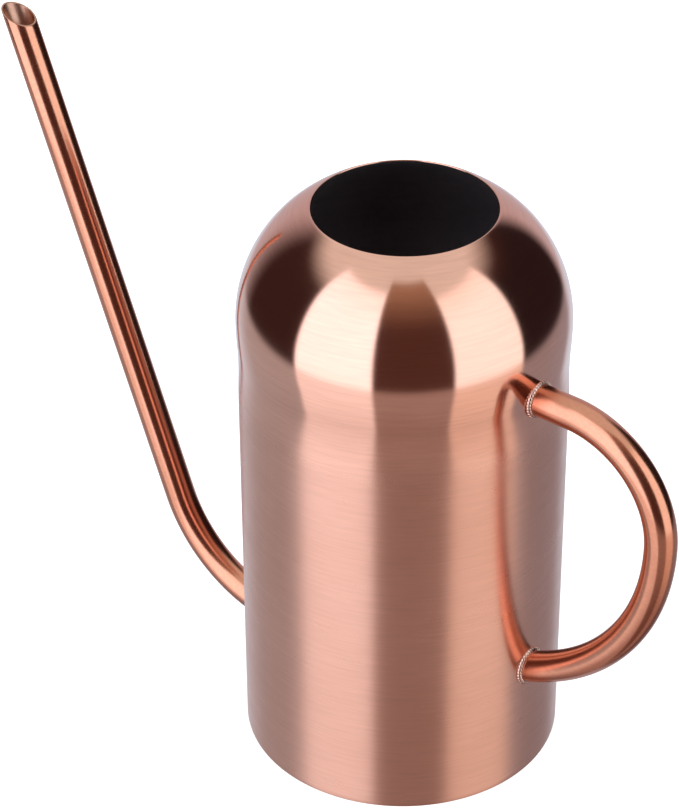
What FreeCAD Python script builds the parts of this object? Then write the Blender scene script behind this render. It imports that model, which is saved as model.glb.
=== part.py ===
import FreeCAD, Part
import math
import os

# A slim indoor watering can of copper-plated steel: a straight round tank, a spun shoulder with an
# open mouth, a long spout of bent tube and an ear-shaped handle of the same tube. Everything is
# welded, so nothing moves and there is no lid.
# Millimetres, +Z up. The origin is the middle of the foot, on the floor. The handle stands towards
# +X and the spout towards -X, both in the plane Y = 0.

# Tank wall
body_radius = 51.0  # outside
body_height = 136.1  # floor to the wall's top edge
sheet = 0.6  # thickness of the wall, the shoulder and the base

# Shoulder
girth_gap = 0.5  # between the wall's top edge and the shoulder's lower edge, filled by the weld
waist_depth = 0.25  # the waist at the weld is this far inside the wall's outside
neck_rise = 12.0  # the wall draws in to the waist over this height
swell = 0.3  # its widest part is this far outside
swell_rise = 15.4  # lower edge to widest part
crown_arc = 43.9  # radius of the rounded crown, seen from the side
mouth_radius = 28.3

# Base, a pressed pan set inside the wall
pan_gap = 0.05  # round the pan's flange
pan_lip = 1.2  # the flange's lower edge above the floor
pan_recess = 5.0  # the pan's underside above the floor
pan_corner = 2.6  # outer radius of the pan's corner
dish_radius = 38.0  # the raised middle, measured on the underside
dish_rise = 1.2
dish_slope = 3.0  # width of the slope up to the raised middle
foot_bead = 0.9  # leg of the weld that holds the pan
foot_hollow_in = 0.23  # the deepest point of that weld's hollow face, in from the wall
foot_hollow_up = 0.3  # and below the flange's edge

# Spout
spout_radius = 5.0
spout_wall = 0.6
spout_floor_gap = 2.5  # pan to the underside of the spout's inlet
spout_inset = 1.0  # how far the inlet stands inside the wall
spout_hole_gap = 0.1  # round the spout in the wall's hole
spout_bend = 46.3  # radius of the low bend
spout_angle = 69.0  # of the long straight run, from the floor
spout_run = 173.2  # length of the straight run, to the middle of the cut tip
tip_cut = 40.0  # angle of the tip's cut away from square

# Handle
handle_radius = 5.0
handle_wall = 0.8
handle_stand_off = 45.6  # tank wall to the centre line of the grip at its furthest
handle_top_bend = 33.66
handle_low_bend = 72.9
handle_bury = 10.0  # how far its bar runs inside the can before the can trims it off

# Welds
weld_leg = 1.2  # radius of the beads round the tubes
weld_clear = 0.5  # between the upper handle bead and the girth weld
bead_run_out = 0.7  # straight tube left between the spout's bead and its bend

# Sizes that follow from those above
inner_radius = body_radius - sheet
shoulder_foot = body_height + girth_gap
swell_z = shoulder_foot + swell_rise
swell_radius = body_radius + swell
waist_radius = body_radius - waist_depth
crown_centre = swell_radius - crown_arc
pan_floor = pan_recess + sheet
spout_z = pan_floor + spout_floor_gap + spout_radius
spout_stub = body_radius + weld_leg + bead_run_out
handle_top = shoulder_foot + weld_clear + weld_leg + handle_radius
handle_reach = body_radius + handle_stand_off
handle_mid = handle_top - handle_top_bend
grip_centre = handle_reach - handle_low_bend


def at(r, z):
    """A point of a turned profile. The seam of the turning lies towards +Y, clear of both tubes."""
    return FreeCAD.Vector(0, r, z)


def side(x, z):
    """A point in the plane that the spout and the handle lie in."""
    return FreeCAD.Vector(x, 0, z)


def line(a, b):
    return Part.LineSegment(a, b).toShape()


def arc(a, through, b):
    return Part.Arc(a, through, b).toShape()


def turned(edges):
    """The solid that a closed profile makes, turned about the can's upright axis."""
    profile = Part.Face(Part.Wire(edges))
    return profile.revolve(FreeCAD.Vector(0, 0, 0), FreeCAD.Vector(0, 0, 1), 360)


def polygon(corners):
    return [line(corners[i - 1], corners[i]) for i in range(len(corners))]


def easing(low, high, depth, rising):
    """Two arcs that lead smoothly from one upright line to another, as points from low to high.
    depth is how far under the outside the face lies."""
    step = (high.y - low.y) / 2
    half = (high.z - low.z) / 2
    radius = (half**2 + step**2) / (2 * abs(step))
    turn = math.asin(half / radius)
    sign = 1 if rising else -1
    under, over = radius + sign * depth, radius - sign * depth
    low_centre = low.y + sign * radius
    high_centre = high.y - sign * radius
    points = []
    for angle in (0, turn / 2, turn):
        points.append(at(low_centre - sign * under * math.cos(angle), low.z + under * math.sin(angle)))
    for angle in (turn / 2, 0):
        points.append(at(high_centre + sign * over * math.cos(angle), high.z - over * math.sin(angle)))
    return points


def neck(depth=0.0):
    """The top of the tank wall, drawn in to the waist."""
    low = at(body_radius, body_height - neck_rise)
    return easing(low, at(waist_radius, body_height), depth, False)


def skirt(depth=0.0):
    """The shoulder from the waist out to its widest part."""
    return easing(at(waist_radius, shoulder_foot), at(swell_radius, swell_z), depth, True)


def curve(points):
    """The two arcs through five points."""
    return [arc(points[0], points[1], points[2]), arc(points[2], points[3], points[4])]


def crown(angle, depth=0.0):
    """A point of the crown, by its angle up from the widest part."""
    reach = crown_arc - depth
    turn = math.radians(angle)
    return at(crown_centre + reach * math.cos(turn), swell_z + reach * math.sin(turn))


def crown_end():
    return math.degrees(math.acos((mouth_radius - crown_centre) / crown_arc))


def can_outside():
    """The whole can filled in, without its tubes. It trims whatever is welded to the outside."""
    end = crown_end()
    top = crown(end)
    edges = [line(at(0, 0), at(body_radius, 0)), line(at(body_radius, 0), neck()[0])]
    edges += curve(neck())
    edges += [line(neck()[-1], skirt()[0])]
    edges += curve(skirt())
    edges += [arc(crown(0), crown(end / 2), top), line(top, at(0, top.z)), line(at(0, top.z), at(0, 0))]
    return turned(edges)


def tank_wall():
    """The straight wall, drawn in a little at the top, with the hole for the spout."""
    outside = neck()
    inside = neck(sheet)
    edges = [line(at(inner_radius, 0), at(body_radius, 0)), line(at(body_radius, 0), outside[0])]
    edges += curve(outside)
    edges += [line(outside[-1], inside[-1])]
    edges += curve(inside[::-1])
    edges += [line(inside[0], at(inner_radius, 0))]
    hole = Part.makeCylinder(
        spout_radius + spout_hole_gap, body_radius, side(-spout_stub, spout_z), FreeCAD.Vector(1, 0, 0)
    )
    return turned(edges).cut(hole)


def shoulder():
    """The spun shoulder, with a half-round edge at the mouth."""
    end = crown_end()
    turn = math.radians(end)
    nose = crown(end, sheet / 2) + at(-math.sin(turn), math.cos(turn)) * (sheet / 2)
    edges = curve(skirt())
    edges += [arc(crown(0), crown(end / 2), crown(end)), arc(crown(end), nose, crown(end, sheet))]
    edges += [arc(crown(end, sheet), crown(end / 2, sheet), crown(0, sheet))]
    edges += curve(skirt(sheet)[::-1])
    edges += [line(skirt(sheet)[0], skirt()[0])]
    return turned(edges)


def girth_weld():
    """Ground flush outside and left slightly proud inside."""
    wall_out, wall_in = neck()[-1], neck(sheet)[-1]
    foot_out, foot_in = skirt()[0], skirt(sheet)[0]
    crest = at(foot_in.y - girth_gap / 2, body_height + girth_gap / 2)
    return turned(polygon([wall_in, wall_out, foot_out, foot_in, crest]))


def corner(centre_r, centre_z, radius, angle):
    turn = math.radians(angle)
    return at(centre_r + radius * math.cos(turn), centre_z + radius * math.sin(turn))


def pan_outline(depth):
    """The pan's face at a depth under its wet side, from the flange's edge in to the axis."""
    flange = inner_radius - pan_gap
    mid_r = flange - pan_corner
    mid_z = pan_floor - pan_corner
    radius = pan_corner - depth
    floor = pan_floor - depth
    return [
        line(at(flange - depth, pan_lip), corner(mid_r, mid_z, radius, 0)),
        arc(
            corner(mid_r, mid_z, radius, 0),
            corner(mid_r, mid_z, radius, 45),
            corner(mid_r, mid_z, radius, 90),
        ),
        line(corner(mid_r, mid_z, radius, 90), at(dish_radius, floor)),
        line(at(dish_radius, floor), at(dish_radius - dish_slope, floor + dish_rise)),
        line(at(dish_radius - dish_slope, floor + dish_rise), at(0, floor + dish_rise)),
    ]


def base_pan():
    flange = inner_radius - pan_gap
    middle = pan_floor + dish_rise
    ends = [
        line(at(flange, pan_lip), at(flange - sheet, pan_lip)),
        line(at(0, middle), at(0, middle - sheet)),
    ]
    edges = Part.sortEdges(pan_outline(0) + pan_outline(sheet) + ends)[0]
    return turned(edges)


def base_weld():
    """A small hollow-faced bead under the flange, set back from the foot."""
    toe = at(inner_radius, pan_lip - foot_bead)
    root = at(inner_radius, pan_lip)
    heel = at(inner_radius - pan_gap - sheet, pan_lip)
    face = at(inner_radius - foot_hollow_in, pan_lip - foot_hollow_up)
    return turned(polygon([toe, root, heel, face]))


def bar(path, radius):
    """A round bar along straight runs and arcs that meet smoothly."""
    lengths = []
    for edge in path:
        first, last = edge.ParameterRange
        disc = Part.Face(Part.Wire(Part.makeCircle(radius, edge.valueAt(first), edge.tangentAt(first))))
        if isinstance(edge.Curve, Part.Circle):
            lengths.append(disc.revolve(edge.Curve.Center, edge.Curve.Axis, math.degrees(last - first)))
        else:
            lengths.append(disc.extrude(edge.valueAt(last) - edge.valueAt(first)))
    return lengths[0].fuse(lengths[1:]).removeSplitter()


def bend(x, z, radius, start, stop):
    """An arc in the plane of the tubes, by its centre and its angles from +X."""
    ends = []
    for angle in (start, (start + stop) / 2, stop):
        turn = math.radians(angle)
        ends.append(side(x + radius * math.cos(turn), z + radius * math.sin(turn)))
    return arc(*ends)


def spout_path():
    """From inside the wall out to the low bend, then up the long run and past the tip's cut."""
    inlet = side(spout_inset - inner_radius, spout_z)
    low = bend(-spout_stub, spout_z + spout_bend, spout_bend, -90, -90 - spout_angle)
    start = low.Vertexes[1].Point
    rise = math.radians(spout_angle)
    way = side(-math.cos(rise), math.sin(rise))
    spare = spout_radius * (1 + math.tan(math.radians(tip_cut)))
    return [line(inlet, side(-spout_stub, spout_z)), low, line(start, start + way * (spout_run + spare))]


def tip_waste():
    """What the slanting cut takes off the tip. The side away from the tank stays longer."""
    rise = math.radians(spout_angle)
    bend_end = spout_path()[1].Vertexes[1].Point
    tip = bend_end + side(-math.cos(rise), math.sin(rise)) * spout_run
    lean = math.pi - rise - math.radians(tip_cut)
    normal = side(math.cos(lean), math.sin(lean))
    reach = 4 * spout_radius
    return Part.makeCylinder(reach, reach, tip, normal)


def handle_path():
    """From inside the shoulder out, round the grip and back in through the tank wall."""
    inside = body_radius - handle_bury
    top = handle_reach - handle_top_bend
    sweep = math.degrees(math.acos((inside - grip_centre) / handle_low_bend))
    return [
        line(side(inside, handle_top), side(top, handle_top)),
        bend(top, handle_mid, handle_top_bend, 90, 0),
        bend(grip_centre, handle_mid, handle_low_bend, 0, -sweep),
    ]


def bead(tube, can, lower):
    """A rounded bead round the joint where a tube meets the can's outside."""
    joints = [Part.Wire(edges).BoundBox for edges in Part.sortEdges(tube.section(can).Edges)]
    joints.sort(key=lambda joint: joint.ZMin)
    joint = joints[0] if lower else joints[-1]
    middle = side(joint.Center.x, joint.Center.z)
    radius = (joint.YLength + joint.ZLength) / 4
    ring = Part.makeTorus(radius, weld_leg, middle, FreeCAD.Vector(1, 0, 0))
    return ring.cut(tube).cut(can)


def build():
    can = can_outside()
    spout = bar(spout_path(), spout_radius)
    spout_bore = bar(spout_path(), spout_radius - spout_wall)
    handle = bar(handle_path(), handle_radius)
    handle_bore = bar(handle_path(), handle_radius - handle_wall)
    return {
        "body_tube": tank_wall(),
        "dome_shoulder": shoulder(),
        "girth_seam_weld": girth_weld(),
        "base_pan": base_pan(),
        "base_seam_weld": base_weld(),
        "spout_tube": spout.cut([spout_bore, tip_waste()]),
        "spout_weld": bead(spout, can, True),
        "handle_tube": handle.cut([handle_bore, can]),
        "handle_upper_weld": bead(handle, can, False),
        "handle_lower_weld": bead(handle, can, True),
    }


os.makedirs("parts", exist_ok=True)
for name, shape in build().items():
    print(name, "solids", len(shape.Solids), "valid", shape.isValid(), "mm3", round(shape.Volume, 1))
    shape.exportStep("parts/" + name + ".step")
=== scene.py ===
import math
import bpy
from mathutils import Matrix, Vector


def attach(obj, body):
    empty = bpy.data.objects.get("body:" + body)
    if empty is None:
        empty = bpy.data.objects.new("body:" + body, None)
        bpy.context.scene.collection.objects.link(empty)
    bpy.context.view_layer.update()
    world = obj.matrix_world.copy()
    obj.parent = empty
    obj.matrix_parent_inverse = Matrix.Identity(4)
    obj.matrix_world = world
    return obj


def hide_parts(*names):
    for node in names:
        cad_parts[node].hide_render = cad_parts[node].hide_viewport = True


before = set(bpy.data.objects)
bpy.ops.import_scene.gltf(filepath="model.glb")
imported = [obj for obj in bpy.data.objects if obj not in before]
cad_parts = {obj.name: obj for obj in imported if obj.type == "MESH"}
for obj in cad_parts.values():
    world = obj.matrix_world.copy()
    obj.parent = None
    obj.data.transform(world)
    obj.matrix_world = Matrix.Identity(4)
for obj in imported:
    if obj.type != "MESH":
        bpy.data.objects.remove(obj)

mm = 0.001
degreesPerRadian = math.degrees(1)
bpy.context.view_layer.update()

# the camera
cameraSet = {
    "place": (0.4761, -0.6087, 0.6418),
    "turn": 39.5,       # degrees round the upright axis
    "down": 34.049,     # degrees below the horizon
    "roll": -0.4085,
    "lens": 133.81,
    "sensor": 36.0,
}

cameraData = bpy.data.cameras.new("camera")
camera = bpy.data.objects.new("camera", cameraData)
bpy.context.scene.collection.objects.link(camera)
cameraData.lens = cameraSet["lens"]
cameraData.sensor_width = cameraSet["sensor"]
cameraData.sensor_fit = 'AUTO'
cameraData.clip_start = 0.01
camera.matrix_world = (
    Matrix.Translation(cameraSet["place"])
    @ Matrix.Rotation(math.radians(cameraSet["turn"]), 4, 'Z')
    @ Matrix.Rotation(math.radians(90 - cameraSet["down"]), 4, 'X')
    @ Matrix.Rotation(math.radians(cameraSet["roll"]), 4, 'Z')
)
bpy.context.scene.camera = camera
bpy.context.scene.view_settings.view_transform = 'Standard'
print("camera set")

# the studio: windows and flags are soft bands of the surroundings, by bearing and height in degrees
# each band's light changes with height: deep, lower under the table line, upper, high, then the ceiling
studioSet = {
    "facing": -52.0,        # bearing the main view looks from
    "centreFlag": {
        "deep": (0.20, 0.13, 0.12), "lower": (0.42, 0.355, 0.35),
        "upper": (0.092, 0.044, 0.036), "high": (0.42, 0.28, 0.19), "top": (66, 72, 0),
    },
    "leftFlag": {
        "deep": (0.24, 0.20, 0.22), "lower": (0.50, 0.54, 0.60),
        "upper": (0.046, 0.024, 0.023), "high": (0.12, 0.06, 0.05), "top": (34, 52, 0),
    },
    "rightFlag": {
        "deep": (0.16, 0.12, 0.13), "lower": (0.37, 0.38, 0.44),
        "upper": (0.026, 0.016, 0.018), "high": (0.14, 0.06, 0.04), "top": (38, 60, 0),
    },
    "leftWindow": {
        "from": -74, "to": -20, "lean": -0.0025, "edge": 2.0, "deep": (0.50, 0.42, 0.42),
        "lower": (1.24, 1.30, 1.40), "upper": (1.90, 2.05, 2.30),
        "high": (1.50, 1.62, 1.72), "top": (56, 61, 0),
    },
    "rightWindow": {
        "from": 33, "to": 83, "lean": 0.003, "edge": 2.0, "deep": (0.42, 0.32, 0.30),
        "lower": (1.00, 0.90, 0.82), "upper": (1.52, 1.70, 1.82),
        "high": (1.30, 1.22, 1.15), "top": (50, 56, 0),
    },
    "backdrop": {
        "left": (-153, -122), "right": (138, 152), "deep": (0.50, 0.52, 0.58),
        "lower": (0.72, 0.84, 0.98), "upper": (0.60, 0.56, 0.62),
        "high": (0.66, 0.64, 0.68), "top": (30, 50, 0),
    },
    "leanStops": 60.0,              # above this height the windows' edges lean no further
    "flagJoins": ((-50, -45), (55, 60)),    # left flag to centre flag, centre flag to right flag
    "ceiling": (0.86, 0.92, 0.91),
    "highFrom": (26, 72),
    "tableLine": (15.5, 20.5),      # below the horizon
    "deepFrom": (29, 66),           # below the horizon
}


def addNode(tree, kind, **values):
    node = tree.nodes.new(kind)
    for key, value in values.items():
        setattr(node, key, value)
    return node


def feed(tree, socket, value):
    # a socket takes a link from another socket, or a plain value
    if isinstance(value, bpy.types.NodeSocket):
        tree.links.new(value, socket)
    else:
        socket.default_value = value


def maths(tree, operation, a, b=0.0):
    node = addNode(tree, "ShaderNodeMath", operation=operation)
    feed(tree, node.inputs[0], a)
    feed(tree, node.inputs[1], b)
    return node.outputs[0]


def ramp(tree, value, start, stop, low=0.0, high=1.0):
    node = addNode(tree, "ShaderNodeMapRange", interpolation_type='SMOOTHSTEP', clamp=True)
    feed(tree, node.inputs["Value"], value)
    feed(tree, node.inputs["From Min"], start)
    feed(tree, node.inputs["From Max"], stop)
    feed(tree, node.inputs["To Min"], low)
    feed(tree, node.inputs["To Max"], high)
    return node.outputs["Result"]


def blendColours(tree, share, a, b):
    node = addNode(tree, "ShaderNodeMix", data_type='RGBA')
    feed(tree, node.inputs[0], share)
    for socket, value in ((node.inputs[6], a), (node.inputs[7], b)):
        feed(tree, socket, (*value, 1) if isinstance(value, tuple) else value)
    return node.outputs[2]


def buildStudio():
    world = bpy.data.worlds.new("studio")
    bpy.context.scene.world = world
    world.use_nodes = True
    tree = world.node_tree
    tree.nodes.clear()
    coords = addNode(tree, "ShaderNodeTexCoord")
    turn = addNode(tree, "ShaderNodeVectorRotate", rotation_type='Z_AXIS')
    feed(tree, turn.inputs["Vector"], coords.outputs["Generated"])
    turn.inputs["Angle"].default_value = -math.radians(studioSet["facing"])
    parts = addNode(tree, "ShaderNodeSeparateXYZ")
    feed(tree, parts.inputs[0], turn.outputs[0])
    around = maths(tree, 'ARCTAN2', parts.outputs[1], parts.outputs[0])
    bearing = maths(tree, 'MULTIPLY', around, degreesPerRadian)
    height = maths(tree, 'MULTIPLY', maths(tree, 'ARCSINE', parts.outputs[2]), degreesPerRadian)
    above = maths(tree, 'MINIMUM', maths(tree, 'MAXIMUM', height, 0.0), studioSet["leanStops"])
    back = studioSet["backdrop"]

    def layer(name):
        # the light all the way round at one layer: flags first, then the backdrop and the windows over them
        leftJoin, rightJoin = (ramp(tree, bearing, *join) for join in studioSet["flagJoins"])
        colour = blendColours(tree, leftJoin, studioSet["leftFlag"][name], studioSet["centreFlag"][name])
        colour = blendColours(tree, rightJoin, colour, studioSet["rightFlag"][name])
        colour = blendColours(tree, ramp(tree, bearing, *back["left"], 1.0, 0.0), colour, back[name])
        colour = blendColours(tree, ramp(tree, bearing, *back["right"]), colour, back[name])
        for key, outer in (("leftWindow", "from"), ("rightWindow", "to")):
            window = studioSet[key]
            edge = window["edge"]
            lean = maths(tree, 'MULTIPLY', maths(tree, 'MULTIPLY', above, above), window["lean"])
            shifted = maths(tree, 'SUBTRACT', bearing, lean)
            first = shifted if outer == "from" else bearing
            last = shifted if outer == "to" else bearing
            opens = ramp(tree, first, window["from"] - edge, window["from"] + edge)
            closes = ramp(tree, last, window["to"] - edge, window["to"] + edge, 1.0, 0.0)
            colour = blendColours(tree, maths(tree, 'MULTIPLY', opens, closes), colour, window[name])
        return colour

    depth = maths(tree, 'MULTIPLY', height, -1.0)
    upper = blendColours(tree, ramp(tree, height, *studioSet["highFrom"]), layer("upper"), layer("high"))
    lower = blendColours(tree, ramp(tree, depth, *studioSet["deepFrom"]), layer("lower"), layer("deep"))
    colour = blendColours(tree, ramp(tree, depth, *studioSet["tableLine"]), upper, lower)
    # each band stops at its own top, where the ceiling takes over
    tops = addNode(tree, "ShaderNodeSeparateXYZ")
    feed(tree, tops.inputs[0], layer("top"))
    over = ramp(tree, height, tops.outputs[0], tops.outputs[1])
    colour = blendColours(tree, over, colour, studioSet["ceiling"])
    lit = addNode(tree, "ShaderNodeBackground")
    feed(tree, lit.inputs["Color"], colour)
    plain = addNode(tree, "ShaderNodeBackground")
    plain.inputs["Color"].default_value = (1, 1, 1, 1)
    seen = addNode(tree, "ShaderNodeLightPath")
    join = addNode(tree, "ShaderNodeMixShader")
    feed(tree, join.inputs[0], seen.outputs["Is Camera Ray"])
    tree.links.new(lit.outputs[0], join.inputs[1])
    tree.links.new(plain.outputs[0], join.inputs[2])
    out = addNode(tree, "ShaderNodeOutputWorld")
    tree.links.new(join.outputs[0], out.inputs[0])
    print("studio built")


buildStudio()

floorSet = {"half": 4.0, "under": 0.0002, "colour": (0.9, 0.9, 0.9, 1), "rough": 0.9, "glow": 0.72}


def buildFloor():
    bpy.ops.object.select_all(action='DESELECT')
    bpy.ops.mesh.primitive_plane_add(size=2 * floorSet["half"], location=(0, 0, -floorSet["under"]))
    floor = bpy.context.object
    floor.name = "floor"
    floor.visible_glossy = False
    paint = bpy.data.materials.new("floorPaint")
    paint.use_nodes = True
    shader = paint.node_tree.nodes["Principled BSDF"]
    shader.inputs["Base Color"].default_value = floorSet["colour"]
    shader.inputs["Roughness"].default_value = floorSet["rough"]
    shader.inputs["Specular IOR Level"].default_value = 0.0
    shader.inputs["Emission Color"].default_value = (1, 1, 1, 1)
    shader.inputs["Emission Strength"].default_value = floorSet["glow"]
    floor.data.materials.append(paint)
    print("floor laid")


buildFloor()


def newGroup(name, inputs, outputs):
    group = bpy.data.node_groups.new(name, "ShaderNodeTree")
    for label, kind, value in inputs:
        socket = group.interface.new_socket(name=label, in_out='INPUT', socket_type=kind)
        if value is not None:
            socket.default_value = value
    for label, kind in outputs:
        group.interface.new_socket(name=label, in_out='OUTPUT', socket_type=kind)
    entry = group.nodes.new("NodeGroupInput")
    leave = group.nodes.new("NodeGroupOutput")
    return group, entry, leave


def brushedGroup():
    # fine lines round the upright axis, from noise squeezed along Z
    group, entry, leave = newGroup(
        "brushedLines",
        [("Spacing", 'NodeSocketFloat', 1800.0), ("Run", 'NodeSocketFloat', 14.0)],
        [("Lines", 'NodeSocketFloat'), ("Broad", 'NodeSocketFloat')],
    )
    coords = group.nodes.new("ShaderNodeTexCoord")
    scale = group.nodes.new("ShaderNodeCombineXYZ")
    group.links.new(entry.outputs["Run"], scale.inputs[0])
    group.links.new(entry.outputs["Run"], scale.inputs[1])
    group.links.new(entry.outputs["Spacing"], scale.inputs[2])
    squeeze = addNode(group, "ShaderNodeVectorMath", operation='MULTIPLY')
    group.links.new(coords.outputs["Object"], squeeze.inputs[0])
    group.links.new(scale.outputs[0], squeeze.inputs[1])
    fine = group.nodes.new("ShaderNodeTexNoise")
    group.links.new(squeeze.outputs[0], fine.inputs["Vector"])
    fine.inputs["Scale"].default_value = 1.0
    fine.inputs["Detail"].default_value = 3.0
    wide = addNode(group, "ShaderNodeVectorMath", operation='SCALE')
    group.links.new(squeeze.outputs[0], wide.inputs[0])
    wide.inputs["Scale"].default_value = 0.13
    broad = group.nodes.new("ShaderNodeTexNoise")
    group.links.new(wide.outputs[0], broad.inputs["Vector"])
    broad.inputs["Scale"].default_value = 1.0
    broad.inputs["Detail"].default_value = 2.0
    group.links.new(fine.outputs[0], leave.inputs["Lines"])
    group.links.new(broad.outputs[0], leave.inputs["Broad"])
    return group


def platingGroup():
    # slow drift of the copper's tint and faint handling marks
    group, entry, leave = newGroup(
        "platingDrift",
        [
            ("Bright", 'NodeSocketColor', (0.83, 0.45, 0.34, 1)),
            ("Deep", 'NodeSocketColor', (0.74, 0.37, 0.27, 1)),
            ("Size", 'NodeSocketFloat', 22.0),
        ],
        [("Colour", 'NodeSocketColor'), ("Marks", 'NodeSocketFloat')],
    )
    coords = group.nodes.new("ShaderNodeTexCoord")
    drift = group.nodes.new("ShaderNodeTexNoise")
    group.links.new(coords.outputs["Object"], drift.inputs["Vector"])
    group.links.new(entry.outputs["Size"], drift.inputs["Scale"])
    drift.inputs["Detail"].default_value = 4.0
    share = group.nodes.new("ShaderNodeMapRange")
    group.links.new(drift.outputs[0], share.inputs["Value"])
    share.inputs["From Min"].default_value = 0.35
    share.inputs["From Max"].default_value = 0.75
    mix = addNode(group, "ShaderNodeMix", data_type='RGBA')
    group.links.new(share.outputs[0], mix.inputs[0])
    group.links.new(entry.outputs["Bright"], mix.inputs[6])
    group.links.new(entry.outputs["Deep"], mix.inputs[7])
    group.links.new(mix.outputs[2], leave.inputs["Colour"])
    marks = group.nodes.new("ShaderNodeTexNoise")
    group.links.new(coords.outputs["Object"], marks.inputs["Vector"])
    marks.inputs["Scale"].default_value = 140.0
    marks.inputs["Detail"].default_value = 5.0
    marks.inputs["Roughness"].default_value = 0.65
    group.links.new(marks.outputs[0], leave.inputs["Marks"])
    return group


brushedLines = brushedGroup()
platingDrift = platingGroup()

markShare = 0.6     # how much of the roughness follows handling marks, the rest follows the brushing
finishSet = {
    "canCopper": {
        "bright": (0.84, 0.46, 0.35, 1), "deep": (0.80, 0.425, 0.315, 1),
        "rough": 0.29, "spread": 0.06, "brushed": 0.75,
        "spacing": 1500, "run": 75, "streaks": 0.055, "lineDepth": 0.000012, "polish": (0.120, 0.152, 0.115),
    },
    "tubePolished": {
        "bright": (0.72, 0.31, 0.20, 1), "deep": (0.65, 0.262, 0.16, 1),
        "rough": 0.20, "spread": 0.05, "brushed": 0.0,
        "spacing": 900, "run": 700, "streaks": 0.06, "lineDepth": 0.000004,
    },
    "weldBead": {
        "bright": (0.88, 0.62, 0.53, 1), "deep": (0.60, 0.33, 0.25, 1),
        "rough": 0.20, "spread": 0.12, "brushed": 0.0,
        "spacing": 700, "run": 700, "streaks": 0.10, "lineDepth": 0.000006,
    },
    "basePressed": {
        "bright": (0.78, 0.42, 0.32, 1), "deep": (0.68, 0.36, 0.27, 1),
        "rough": 0.30, "spread": 0.08, "brushed": 0.0,
        "spacing": 400, "run": 400, "streaks": 0.08, "lineDepth": 0.000008,
    },
    # the inside faces of the tank, shoulder and pan: a dull rough finish, with its colour darkened to grey
    # as painted shade inside the can
    "insideDullPaintedShade": {
        "bright": (0.42, 0.36, 0.38, 1), "deep": (0.34, 0.29, 0.31, 1),
        "rough": 0.60, "spread": 0.10, "brushed": 0.0,
        "spacing": 600, "run": 90, "streaks": 0.04, "lineDepth": 0.00001,
    },
    # the inside faces of the spout and handle: copper darkened as painted shade inside the bores
    "boreCopperPaintedShade": {
        "bright": (0.62, 0.34, 0.245, 1), "deep": (0.46, 0.25, 0.18, 1),
        "rough": 0.36, "spread": 0.12, "brushed": 0.0,
        "spacing": 500, "run": 500, "streaks": 0.10, "lineDepth": 0.000008,
    },
}


def buildFinish(name):
    values = finishSet[name]
    finish = bpy.data.materials.new(name)
    finish.use_nodes = True
    tree = finish.node_tree
    shader = tree.nodes["Principled BSDF"]
    shader.inputs["Metallic"].default_value = 1.0
    shader.inputs["Anisotropic"].default_value = values["brushed"]
    shader.inputs["Anisotropic Rotation"].default_value = 0.25
    tint = addNode(tree, "ShaderNodeGroup", node_tree=platingDrift)
    tint.inputs["Bright"].default_value = values["bright"]
    tint.inputs["Deep"].default_value = values["deep"]
    lines = addNode(tree, "ShaderNodeGroup", node_tree=brushedLines)
    lines.inputs["Spacing"].default_value = values["spacing"]
    lines.inputs["Run"].default_value = values["run"]
    # each line is a little brighter or darker than its neighbours
    streak = addNode(tree, "ShaderNodeMapRange")
    tree.links.new(lines.outputs["Lines"], streak.inputs["Value"])
    streak.inputs["From Min"].default_value = 0.3
    streak.inputs["From Max"].default_value = 0.7
    streak.inputs["To Min"].default_value = 1.0 - values["streaks"]
    streak.inputs["To Max"].default_value = 1.0 + values["streaks"] / 2
    streaked = addNode(tree, "ShaderNodeVectorMath", operation='SCALE')
    tree.links.new(tint.outputs["Colour"], streaked.inputs[0])
    tree.links.new(streak.outputs[0], streaked.inputs["Scale"])
    tree.links.new(streaked.outputs[0], shader.inputs["Base Color"])
    marked = maths(tree, 'MULTIPLY', tint.outputs["Marks"], markShare)
    mixed = maths(tree, 'ADD', marked, maths(tree, 'MULTIPLY', lines.outputs["Broad"], 1 - markShare))
    rough = addNode(tree, "ShaderNodeMapRange")
    feed(tree, rough.inputs["Value"], mixed)
    rough.inputs["From Min"].default_value = 0.3
    rough.inputs["From Max"].default_value = 0.7
    rough.inputs["To Min"].default_value = values["rough"] - values["spread"] / 2
    rough.inputs["To Max"].default_value = values["rough"] + values["spread"] / 2
    share = rough.outputs[0]
    lineDepth = values["lineDepth"]
    if "polish" in values:
        # the brushing fades into a brighter polish from the waist up
        low, high, smooth = values["polish"]
        coords = addNode(tree, "ShaderNodeTexCoord")
        parts = addNode(tree, "ShaderNodeSeparateXYZ")
        tree.links.new(coords.outputs["Object"], parts.inputs[0])
        fade = ramp(tree, parts.outputs[2], low, high, 1.0, smooth / values["rough"])
        share = maths(tree, 'MULTIPLY', share, fade)
        laidLines = maths(tree, 'MULTIPLY', lines.outputs["Lines"], maths(tree, 'MULTIPLY', fade, fade))
    else:
        laidLines = lines.outputs["Lines"]
    feed(tree, shader.inputs["Roughness"], share)
    bump = addNode(tree, "ShaderNodeBump")
    bump.inputs["Strength"].default_value = 1.0
    bump.inputs["Distance"].default_value = lineDepth
    tree.links.new(laidLines, bump.inputs["Height"])
    tree.links.new(bump.outputs[0], shader.inputs["Normal"])
    return finish


finishes = {name: buildFinish(name) for name in finishSet}
print("finishes mixed")


def startRing(name, radius, height, count, place=(0, 0), turned=False):
    # a circle of points in edit mode, lying flat or facing along X
    bpy.ops.object.select_all(action='DESELECT')
    facing = (0, math.pi / 2, 0) if turned else (0, 0, 0)
    middle = (place[0] * mm, place[1] * mm, height * mm)
    bpy.ops.mesh.primitive_circle_add(vertices=count, radius=radius * mm, location=middle, rotation=facing)
    piece = bpy.context.object
    piece.name = name
    bpy.ops.object.transform_apply(location=True, rotation=True, scale=True)
    bpy.ops.object.mode_set(mode='EDIT')
    bpy.ops.mesh.select_all(action='SELECT')
    return piece


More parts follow.
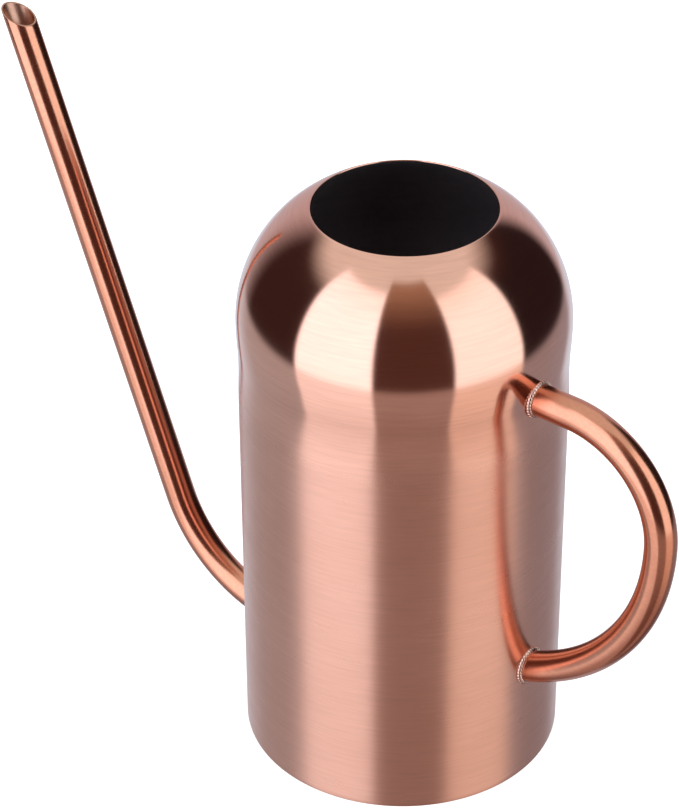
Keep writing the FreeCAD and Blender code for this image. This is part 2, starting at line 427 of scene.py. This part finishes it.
def growRings(profile):
    # the selected ring is extruded to each radius and height in turn
    for (r0, z0), (r1, z1) in zip(profile, profile[1:]):
        bpy.ops.mesh.extrude_region_move(TRANSFORM_OT_translate={"value": (0, 0, (z1 - z0) * mm)})
        factor = r1 / r0
        bpy.ops.transform.resize(value=(factor, factor, 1), center_override=(0, 0, z1 * mm))


def faceOut():
    bpy.ops.mesh.select_all(action='SELECT')
    bpy.ops.mesh.remove_doubles(threshold=0.0000005)
    bpy.ops.mesh.normals_make_consistent(inside=False)


def arcPoints(centre, radius, start, stop, steps):
    found = []
    for i in range(steps + 1):
        angle = math.radians(start + (stop - start) * i / steps)
        found.append((centre[0] + radius * math.cos(angle), centre[1] + radius * math.sin(angle)))
    return found


def thicken(piece, sheet, inside=False):
    # the sheet gets its thickness inwards
    solid = piece.modifiers.new("sheet", 'SOLIDIFY')
    solid.thickness = sheet * mm
    solid.offset = -1
    solid.use_even_offset = True
    solid.material_offset = 1 if inside else 0
    bpy.context.view_layer.objects.active = piece
    bpy.ops.object.modifier_apply(modifier="sheet")


def easeEdges(piece, width, wanted, segments=3):
    # rounds off the sharp edges whose middle, in millimetres, passes the test
    bpy.ops.object.select_all(action='DESELECT')
    piece.select_set(True)
    bpy.context.view_layer.objects.active = piece
    bpy.ops.object.mode_set(mode='EDIT')
    bpy.ops.mesh.select_mode(type='EDGE')
    bpy.ops.mesh.select_all(action='DESELECT')
    bpy.ops.mesh.edges_select_sharp(sharpness=math.radians(50))
    bpy.ops.object.mode_set(mode='OBJECT')
    points = piece.data.vertices
    for edge in piece.data.edges:
        middle = (points[edge.vertices[0]].co + points[edge.vertices[1]].co) / (2 * mm)
        if edge.select and not wanted(middle):
            edge.select = False
    bpy.ops.object.mode_set(mode='EDIT')
    bpy.ops.mesh.bevel(
        offset=width * mm, offset_type='OFFSET', segments=segments, affect='EDGES', clamp_overlap=True
    )
    bpy.ops.object.mode_set(mode='OBJECT')


def finishPiece(piece, node):
    bpy.ops.object.select_all(action='DESELECT')
    piece.select_set(True)
    bpy.context.view_layer.objects.active = piece
    bpy.ops.object.shade_smooth_by_angle(angle=math.radians(40))
    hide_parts(node)
    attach(piece, "root")
    print("made", piece.name, len(piece.data.polygons), "faces")


def giveFinishes(piece, *names):
    for name in names:
        piece.data.materials.append(finishes[name])


# the tank wall
tankSet = {
    "radius": 51.0, "height": 136.1, "waist": 50.75, "neck": 12.0, "sheet": 0.6, "around": 256, "rim": 0.14,
    "holeRadius": 5.1, "holeHeight": 13.1, "drillDepth": 20.0,
}


def easedLine(low, high, steps):
    # two matching arcs that lead smoothly from one upright line to another
    step = (high[0] - low[0]) / 2
    half = (high[1] - low[1]) / 2
    radius = (half ** 2 + step ** 2) / (2 * abs(step))
    sign = 1 if step > 0 else -1
    found = []
    for i in range(steps + 1):
        rise = half * i / steps
        found.append((low[0] + sign * (radius - math.sqrt(radius ** 2 - rise ** 2)), low[1] + rise))
    for i in range(steps - 1, -1, -1):
        drop = half * i / steps
        found.append((high[0] - sign * (radius - math.sqrt(radius ** 2 - drop ** 2)), high[1] - drop))
    return found


def buildTank():
    t = tankSet
    wall = startRing("tankWall", t["radius"], 0, t["around"])
    profile = [(t["radius"], z) for z in (0, 1.5, 30, 60, 90, 118)]
    profile += easedLine((t["radius"], t["height"] - t["neck"]), (t["waist"], t["height"]), 8)
    growRings(profile)
    faceOut()
    bpy.ops.object.mode_set(mode='OBJECT')
    giveFinishes(wall, "canCopper", "insideDullPaintedShade")
    thicken(wall, t["sheet"], inside=True)
    easeEdges(wall, t["rim"], lambda middle: middle.z < 1)
    # the round hole that the spout passes through
    bpy.ops.object.select_all(action='DESELECT')
    bpy.ops.mesh.primitive_cylinder_add(
        vertices=64, radius=t["holeRadius"] * mm, depth=t["drillDepth"] * mm,
        location=(-t["radius"] * mm, 0, t["holeHeight"] * mm), rotation=(0, math.pi / 2, 0),
    )
    drill = bpy.context.object
    cut = wall.modifiers.new("hole", 'BOOLEAN')
    cut.operation = 'DIFFERENCE'
    cut.solver = 'EXACT'
    cut.object = drill
    bpy.context.view_layer.objects.active = wall
    bpy.ops.object.modifier_apply(modifier="hole")
    bpy.data.objects.remove(drill, do_unlink=True)
    finishPiece(wall, "body_tube")


buildTank()

# the shoulder
shoulderSet = {
    "foot": 136.6, "waist": 50.75, "wideRadius": 51.3, "wideHeight": 152.0, "crownArc": 43.9,
    "mouth": 28.3, "sheet": 0.6, "around": 256, "rim": 0.28,
}


def buildShoulder():
    s = shoulderSet
    crownCentre = (s["wideRadius"] - s["crownArc"], s["wideHeight"])
    high = math.degrees(math.acos((s["mouth"] - crownCentre[0]) / s["crownArc"]))
    profile = easedLine((s["waist"], s["foot"]), (s["wideRadius"], s["wideHeight"]), 8)
    profile += arcPoints(crownCentre, s["crownArc"], 0, high, 44)[1:]
    shell = startRing("shoulderShell", profile[0][0], profile[0][1], s["around"])
    growRings(profile)
    faceOut()
    bpy.ops.object.mode_set(mode='OBJECT')
    giveFinishes(shell, "canCopper", "insideDullPaintedShade")
    thicken(shell, s["sheet"], inside=True)
    easeEdges(shell, s["rim"], lambda middle: middle.z > 180, 5)
    finishPiece(shell, "dome_shoulder")


buildShoulder()

# the girth and base welds, closed rings of a small profile
ringWeldSet = {
    "girthWeld": {
        "node": "girth_seam_weld", "finish": "canCopper",
        "profile": [
            (50.15, 136.1), (50.75, 136.1), (50.75, 136.6), (50.15, 136.6),
            (50.0, 136.47), (49.92, 136.35), (50.0, 136.22),
        ],
    },
    "baseWeld": {
        "node": "base_seam_weld", "finish": "weldBead",
        "profile": [(50.4, 0.3), (50.4, 1.2), (49.75, 1.2), (49.95, 1.0), (50.14, 0.8), (50.28, 0.56)],
    },
}


def buildRingWeld(name):
    values = ringWeldSet[name]
    profile = values["profile"]
    ring = startRing(name, profile[0][0], profile[0][1], 256)
    growRings(profile)
    bpy.ops.mesh.select_mode(type='EDGE')
    bpy.ops.mesh.select_all(action='DESELECT')
    bpy.ops.mesh.select_non_manifold()
    bpy.ops.mesh.bridge_edge_loops()
    faceOut()
    bpy.ops.object.mode_set(mode='OBJECT')
    giveFinishes(ring, values["finish"])
    finishPiece(ring, values["node"])


for name in ringWeldSet:
    buildRingWeld(name)

# the base pan
panSet = {
    "flange": 50.35, "lip": 1.2, "floor": 5.6, "corner": 2.6, "dish": 38.0, "slope": 3.0, "rise": 1.2,
    "sheet": 0.6, "rim": 0.12,
}


def buildPan():
    p = panSet
    bend = arcPoints((p["flange"] - p["corner"], p["floor"] - p["corner"]), p["corner"], 0, 90, 10)
    inner = p["dish"] - p["slope"]
    top = p["floor"] + p["rise"]
    slope = [
        (p["dish"] + 0.7, p["floor"]), (p["dish"] + 0.2, p["floor"] + 0.05),
        (p["dish"] - 0.4, p["floor"] + 0.2),
        (inner + 0.4, top - 0.2), (inner - 0.2, top - 0.05), (inner - 0.7, top),
    ]
    profile = [(p["flange"], p["lip"])] + bend + slope + [(20, top), (6, top), (1, top)]
    pan = startRing("basePan", profile[0][0], profile[0][1], 192)
    growRings(profile)
    bpy.ops.mesh.extrude_region_move(TRANSFORM_OT_translate={"value": (0, 0, 0)})
    bpy.ops.mesh.merge(type='CENTER')
    faceOut()
    bpy.ops.object.mode_set(mode='OBJECT')
    giveFinishes(pan, "insideDullPaintedShade", "basePressed")
    thicken(pan, p["sheet"], inside=True)
    easeEdges(pan, p["rim"], lambda middle: middle.z < 2)
    finishPiece(pan, "base_pan")


buildPan()

# the spout
spoutSet = {
    "radius": 5.0, "wall": 0.6, "around": 64, "height": 13.1, "inlet": 49.4, "stub": 52.9,
    "bend": 46.3, "angle": 69.0, "run": 173.2, "tipCut": 40.0, "rim": 0.2,
    "spare": 1.9,       # radii of extra length that the tip's cut takes off
}


def buildSpout():
    s = spoutSet
    tube = startRing("spoutTube", s["radius"], s["height"], s["around"], place=(-s["inlet"], 0), turned=True)
    stub = (-(s["stub"] - s["inlet"]) * mm, 0, 0)
    bpy.ops.mesh.extrude_region_move(TRANSFORM_OT_translate={"value": stub})
    pivot = (-s["stub"] * mm, 0, (s["height"] + s["bend"]) * mm)
    bpy.ops.mesh.spin(steps=40, angle=-math.radians(s["angle"]), center=pivot, axis=(0, 1, 0))
    rise = math.radians(s["angle"])
    way = Vector((-math.cos(rise), 0, math.sin(rise)))
    spare = s["radius"] * s["spare"]
    for share in (0.02, 0.31, 0.33, 0.34):      # the long run, in four lengths
        step = way * (s["run"] + spare) * share * mm
        bpy.ops.mesh.extrude_region_move(TRANSFORM_OT_translate={"value": step})
    faceOut()
    bpy.ops.object.mode_set(mode='OBJECT')
    giveFinishes(tube, "tubePolished", "boreCopperPaintedShade")
    thicken(tube, s["wall"], inside=True)
    # the slanted cut at the tip, closed between its outer and inner edges
    bendEnd = Vector((
        -s["stub"] - s["bend"] * math.sin(rise), 0, s["height"] + s["bend"] * (1 - math.cos(rise)),
    ))
    tip = (bendEnd + way * s["run"]) * mm
    lean = math.pi - rise - math.radians(s["tipCut"])
    bpy.ops.object.mode_set(mode='EDIT')
    bpy.ops.mesh.select_mode(type='EDGE')
    bpy.ops.mesh.select_all(action='SELECT')
    bpy.ops.mesh.bisect(plane_co=tip, plane_no=(math.cos(lean), 0, math.sin(lean)), clear_outer=True)
    bpy.ops.mesh.select_all(action='DESELECT')
    bpy.ops.mesh.select_non_manifold()
    bpy.ops.mesh.bridge_edge_loops()
    bpy.ops.mesh.select_all(action='SELECT')
    bpy.ops.mesh.normals_make_consistent(inside=False)
    bpy.ops.object.mode_set(mode='OBJECT')
    easeEdges(tube, s["rim"], lambda middle: middle.z > 150 or middle.x > -50, 2)
    finishPiece(tube, "spout_tube")


buildSpout()

# the handle
handleSet = {
    "radius": 5.0, "wall": 0.8, "around": 64, "top": 143.3, "root": 50.62,
    "topBend": 33.66, "lowBend": 72.9, "lowTurn": 74, "reach": 96.6,
}


def buildHandle():
    h = handleSet
    tube = startRing("handleTube", h["radius"], h["top"], h["around"], place=(h["root"], 0), turned=True)
    level = h["reach"] - h["topBend"]
    middle = h["top"] - h["topBend"]
    bpy.ops.mesh.extrude_region_move(TRANSFORM_OT_translate={"value": ((level - h["root"]) * mm, 0, 0)})
    bpy.ops.mesh.spin(steps=48, angle=-math.radians(90), center=(level * mm, 0, middle * mm), axis=(0, 1, 0))
    pivot = ((h["reach"] - h["lowBend"]) * mm, 0, middle * mm)
    bpy.ops.mesh.spin(steps=64, angle=-math.radians(h["lowTurn"]), center=pivot, axis=(0, 1, 0))
    bpy.ops.mesh.select_all(action='SELECT')
    bpy.ops.mesh.bisect(plane_co=((h["root"] - 0.01) * mm, 0, 0), plane_no=(1, 0, 0), clear_inner=True)
    faceOut()
    bpy.ops.object.mode_set(mode='OBJECT')
    giveFinishes(tube, "tubePolished", "boreCopperPaintedShade")
    thicken(tube, h["wall"], inside=True)
    finishPiece(tube, "handle_tube")


buildHandle()

# the beads round the tube joints
beadSet = {
    "spoutBead": {"node": "spout_weld", "x": -50.88, "z": 13.1, "tall": 1.0},
    "handleTopBead": {"node": "handle_upper_weld", "x": 50.9, "z": 143.3, "tall": 1.0},
    "handleLowBead": {"node": "handle_lower_weld", "x": 50.88, "z": 42.08, "tall": 1.075},
}
beadShape = {
    "major": 5.0, "minor": 1.15, "root": 4.6, "around": 256, "section": 24,
    "ripples": 32, "dip": 0.34, "depth": 0.2, "soften": 0.4, "back": 50.6,
}


def buildBead(name):
    values = beadSet[name]
    b = beadShape
    bpy.ops.object.select_all(action='DESELECT')
    place = (values["x"] * mm, 0, values["z"] * mm)
    bpy.ops.mesh.primitive_torus_add(
        major_segments=b["around"], minor_segments=b["section"], major_radius=b["major"] * mm,
        minor_radius=b["minor"] * mm, location=place, rotation=(0, math.pi / 2, 0),
    )
    bead = bpy.context.object
    bead.name = name
    bpy.ops.object.transform_apply(location=True, rotation=True, scale=True)
    # the bead's root is fused a little way into the tube's wall, and never through it
    for vertex in bead.data.vertices:
        reach = math.hypot(vertex.co.y, vertex.co.z - place[2])
        if reach < b["root"] * mm:
            share = b["root"] * mm / reach
            vertex.co.y *= share
            vertex.co.z = place[2] + (vertex.co.z - place[2]) * share
    # every crest of the laid bead stands a little prouder than the dips beside it
    pick = []
    for vertex in bead.data.vertices:
        angle = math.atan2(vertex.co.z - place[2], vertex.co.y)
        turn = (angle / (2 * math.pi) * b["ripples"]) % 1
        pick.append(abs(turn - 0.5) > b["dip"])
    for vertex, chosen in zip(bead.data.vertices, pick):
        vertex.select = chosen
    for part in list(bead.data.edges) + list(bead.data.polygons):
        part.select = False
    bpy.ops.object.mode_set(mode='EDIT')
    bpy.ops.mesh.select_mode(type='VERT')
    bpy.ops.transform.shrink_fatten(value=-b["depth"] * mm)
    bpy.ops.mesh.select_all(action='SELECT')
    bpy.ops.mesh.vertices_smooth(factor=b["soften"], repeat=1)
    bpy.ops.transform.resize(value=(1, 1, values["tall"]), center_override=place)
    side = 1 if values["x"] > 0 else -1
    bpy.ops.mesh.bisect(plane_co=(side * b["back"] * mm, 0, 0), plane_no=(side, 0, 0), clear_inner=True)
    bpy.ops.mesh.select_mode(type='EDGE')
    bpy.ops.mesh.select_all(action='DESELECT')
    bpy.ops.mesh.select_non_manifold()
    bpy.ops.mesh.bridge_edge_loops()
    faceOut()
    bpy.ops.object.mode_set(mode='OBJECT')
    giveFinishes(bead, "weldBead")
    finishPiece(bead, values["node"])


for name in beadSet:
    buildBead(name)
